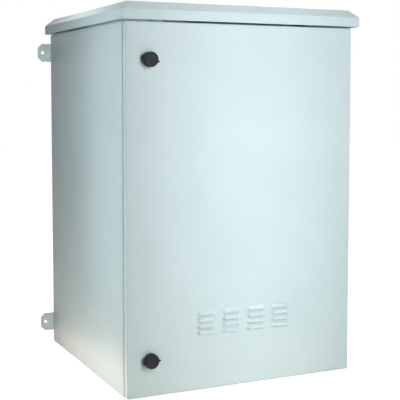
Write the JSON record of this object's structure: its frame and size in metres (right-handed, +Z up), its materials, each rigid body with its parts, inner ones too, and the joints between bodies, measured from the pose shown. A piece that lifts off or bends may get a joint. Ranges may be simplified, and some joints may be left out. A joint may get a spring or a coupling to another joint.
{
  "type": "outdoor server cabinet",
  "caption": "Wall-hung outdoor 19-inch cabinet in folded sheet steel with a rain hood, wall lugs, a louvred full-width door on hidden hinges and cam locks under flip covers.",
  "frame": {"origin": "centre of the base plate's underside, below the middle of the body without the door", "axes": "+Z up, -Y out of the door, +Y towards the wall, +X to the right seen from the front"},
  "size_m": [0.672, 0.618, 0.911],
  "materials": {
    "grey_paint": "satin powder coat with a faint texture",
    "zinc_sheet": "zinc-plated sheet",
    "zinc_fastener": "zinc-plated steel",
    "black_plastic": "fine-textured black plastic",
    "lock_metal": "die-cast lock plug",
    "black_rubber": "soft sealing rubber",
    "foam": "open-cell foam"
  },
  "bodies": {
    "cabinet": {"back_panel": "grey_paint", "base_plate": "grey_paint", "depth_rail_lower_left": "zinc_sheet", "depth_rail_lower_right": "zinc_sheet", "depth_rail_upper_left": "zinc_sheet", "depth_rail_upper_right": "zinc_sheet", "gland_foam": "foam", "gland_plate_front": "zinc_sheet", "gland_plate_rear": "zinc_sheet", "gland_seal": "black_rubber", "hinge_frame_leaves": "zinc_fastener", "hinge_pins": "zinc_fastener", "left_side_panel": "grey_paint", "rack_rail_left": "zinc_sheet", "rack_rail_right": "zinc_sheet", "rail_bolts": "zinc_fastener", "rail_nuts": "zinc_fastener", "right_side_panel": "grey_paint", "roof_bearer_left": "grey_paint", "roof_bearer_right": "grey_paint", "roof_hood": "grey_paint", "top_plate": "grey_paint", "wall_lug_lower_left": "grey_paint", "wall_lug_lower_right": "grey_paint", "wall_lug_upper_left": "grey_paint", "wall_lug_upper_right": "grey_paint"},
    "door": {"door_gasket": "black_rubber", "door_panel": "grey_paint", "door_stiffener_left": "zinc_sheet", "door_stiffener_right": "zinc_sheet", "filter_mat": "foam", "filter_tray": "zinc_sheet", "hinge_door_leaves": "zinc_fastener", "lock_clips": "zinc_fastener", "lock_housings": "black_plastic"},
    "cover_upper": {"dust_cover_upper": "black_plastic"},
    "cover_lower": {"dust_cover_lower": "black_plastic"},
    "lock_upper": {"lock_plug_upper": "lock_metal", "lock_cam_upper": "zinc_fastener"},
    "lock_lower": {"lock_plug_lower": "lock_metal", "lock_cam_lower": "zinc_fastener"}
  },
  "joints": [
    {"name": "door_hinge", "type": "hinge", "parent": "cabinet", "child": "door", "pos_m": [0.2935, -0.297, 0.4339], "axis": [0, 0, 1], "range_deg": [0, 110]},
    {"name": "upper_lock_turn", "type": "hinge", "parent": "door", "child": "lock_upper", "pos_m": [-0.243, -0.3, 0.7803], "axis": [0, 1, 0], "range_deg": [0, 90]},
    {"name": "lower_lock_turn", "type": "hinge", "parent": "door", "child": "lock_lower", "pos_m": [-0.243, -0.3, 0.0875], "axis": [0, 1, 0], "range_deg": [0, 90]},
    {"name": "upper_cover_flip", "type": "hinge", "parent": "door", "child": "cover_upper", "pos_m": [-0.25901, -0.3228, 0.78429], "axis": [-0.2419, 0, -0.9703], "range_deg": [0, 120]},
    {"name": "lower_cover_flip", "type": "hinge", "parent": "door", "child": "cover_lower", "pos_m": [-0.2595, -0.3228, 0.0875], "axis": [0, 0, -1], "range_deg": [0, 120]}
  ]
}
